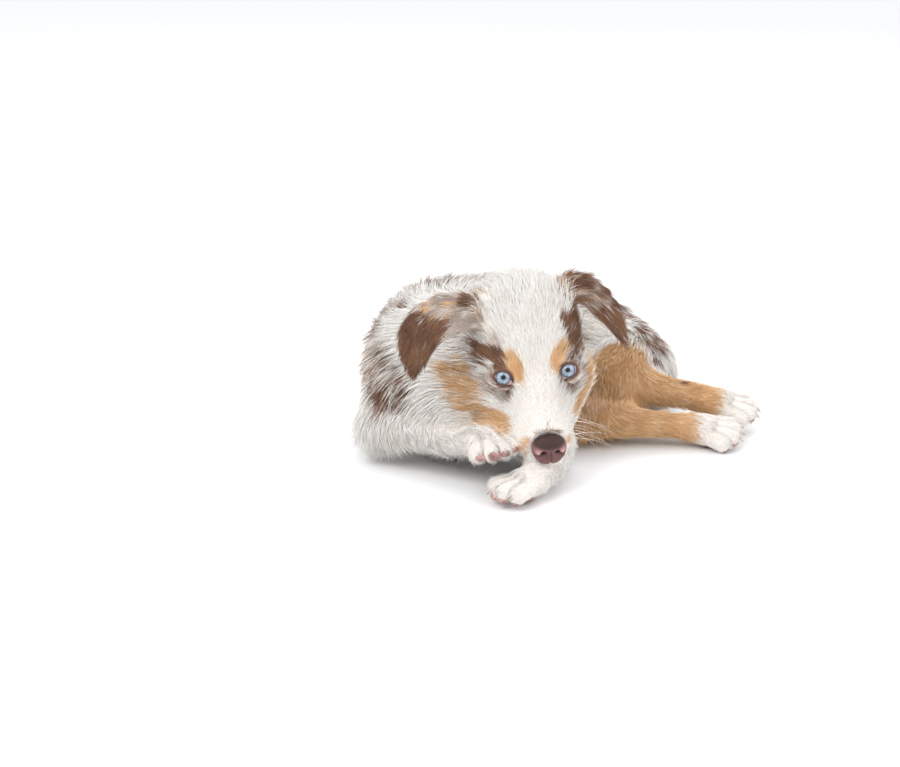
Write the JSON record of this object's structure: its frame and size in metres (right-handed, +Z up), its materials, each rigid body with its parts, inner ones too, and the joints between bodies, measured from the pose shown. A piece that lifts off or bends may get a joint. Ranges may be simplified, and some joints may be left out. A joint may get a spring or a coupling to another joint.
{
  "type": "puppy",
  "caption": "Life-size long-coated merle puppy lying curled up, chin on its crossed forepaws and hind legs stretched to one side.",
  "frame": {"origin": "on the floor, under the middle of the whole body's box", "axes": "+Z up, +X from the shoulders towards the hind paws, -Y towards the side that the face looks to"},
  "size_m": [0.3614, 0.3648, 0.1765],
  "materials": {
    "coat": "soft cream-white fur",
    "tan": "soft tan fur",
    "merle": "soft brown and grey fur",
    "eye": "wet, clear",
    "nose": "moist, finely pebbled",
    "claw": "smooth horn"
  },
  "bodies": {
    "root": {"head": "coat", "nose": "nose", "eye_left": "eye", "eye_right": "eye", "ear_right": "merle", "ear_left": "merle", "neck": "coat", "chest": "merle", "belly": "merle", "rump": "coat", "tail": "merle", "hind_right_thigh": "tan", "hind_right_shank": "tan", "hind_right_paw": "coat", "hind_left_thigh": "tan", "hind_left_shank": "tan", "hind_left_paw": "coat", "fore_left_upper_arm": "tan", "fore_left_forearm": "tan", "fore_left_paw": "coat", "fore_right_upper_arm": "tan", "fore_right_forearm": "tan", "fore_right_paw": "coat"}
  },
  "joints": []
}
